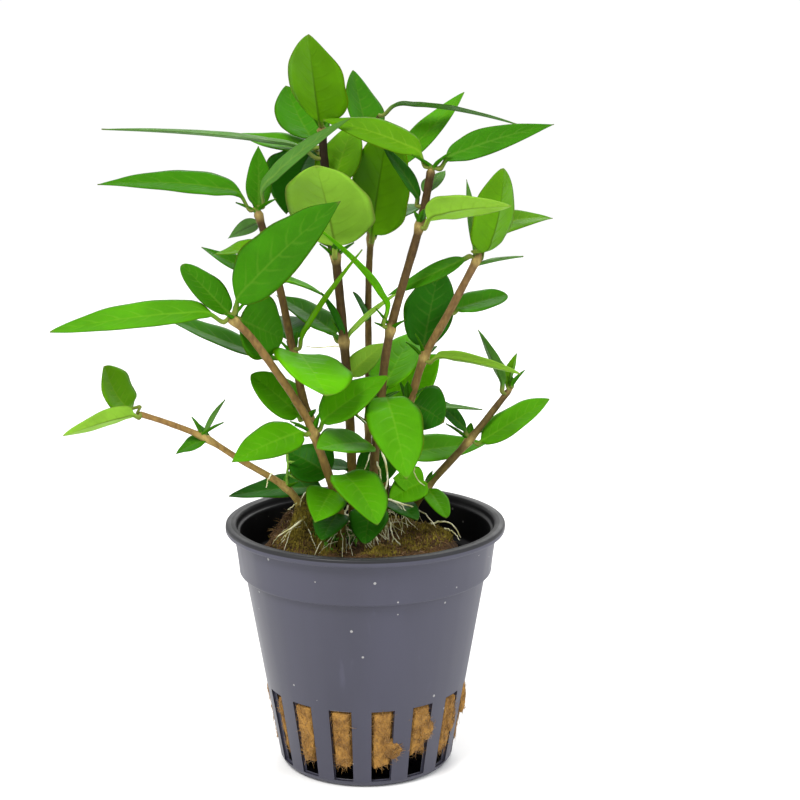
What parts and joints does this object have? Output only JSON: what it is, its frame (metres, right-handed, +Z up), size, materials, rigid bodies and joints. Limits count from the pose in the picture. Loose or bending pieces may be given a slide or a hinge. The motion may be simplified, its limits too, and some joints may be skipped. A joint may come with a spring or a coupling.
{
  "type": "potted aquarium plant",
  "caption": "Creeping staurogyne with slender brown stems and paired lance-shaped leaves, rooted in mossy coir inside a tapered pot with slots round its foot.",
  "frame": {"origin": "middle of the underside of the pot's floor, where the pot stands", "axes": "+Z up along the pot's axis, -Y towards the front of the picture, +X to its right"},
  "size_m": [0.0937, 0.0573, 0.1429],
  "materials": {
    "pot": "satin",
    "plug": "rough coir and soil",
    "stem": "satin",
    "leaf": "satin"
  },
  "bodies": {
    "root": {"growing_plug": "plug", "leaf_arching_across": "leaf", "leaf_bright_behind": "leaf", "leaf_creeping_tip_down": "leaf", "leaf_creeping_tip_up": "leaf", "leaf_dark_broad": "leaf", "leaf_dark_round": "leaf", "leaf_dark_upright": "leaf", "leaf_front_bright": "leaf", "leaf_front_broad": "leaf", "leaf_front_crossing": "leaf", "leaf_front_drooping": "leaf", "leaf_front_left": "leaf", "leaf_front_rising": "leaf", "leaf_hanging_behind": "leaf", "leaf_inner_left": "leaf", "leaf_inner_low": "leaf", "leaf_inner_rising": "leaf", "leaf_inward_right": "leaf", "leaf_leaning_folded": "leaf", "leaf_leaning_right": "leaf", "leaf_leaning_tip_left": "leaf", "leaf_long_behind_left": "leaf", "leaf_long_left": "leaf", "leaf_long_right": "leaf", "leaf_low_behind_right": "leaf", "leaf_low_left": "leaf", "leaf_lower_left_back": "leaf", "leaf_lower_right": "leaf", "leaf_narrow_twisted": "leaf", "leaf_oblong_behind": "leaf", "leaf_olive_middle": "leaf", "leaf_pale_back": "leaf", "leaf_pale_front": "leaf", "leaf_pointed_right": "leaf", "leaf_rear_back": "leaf", "leaf_rear_left": "leaf", "leaf_rear_low": "leaf", "leaf_rear_middle": "leaf", "leaf_rising_across": "leaf", "leaf_sharp_edge_right": "leaf", "leaf_small_oval": "leaf", "leaf_strap": "leaf", "leaf_thin_edge_left": "leaf", "leaf_thin_edge_right": "leaf", "leaf_top_behind": "leaf", "leaf_top_front": "leaf", "leaf_top_left": "leaf", "leaf_upper_left": "leaf", "leaf_upper_left_behind": "leaf", "leaf_upright_right": "leaf", "pot": "pot", "stem_back": "stem", "stem_creeping": "stem", "stem_far_right": "stem", "stem_front": "stem", "stem_leaning": "stem", "stem_left": "stem", "stem_middle": "stem", "stem_right": "stem"}
  },
  "joints": []
}
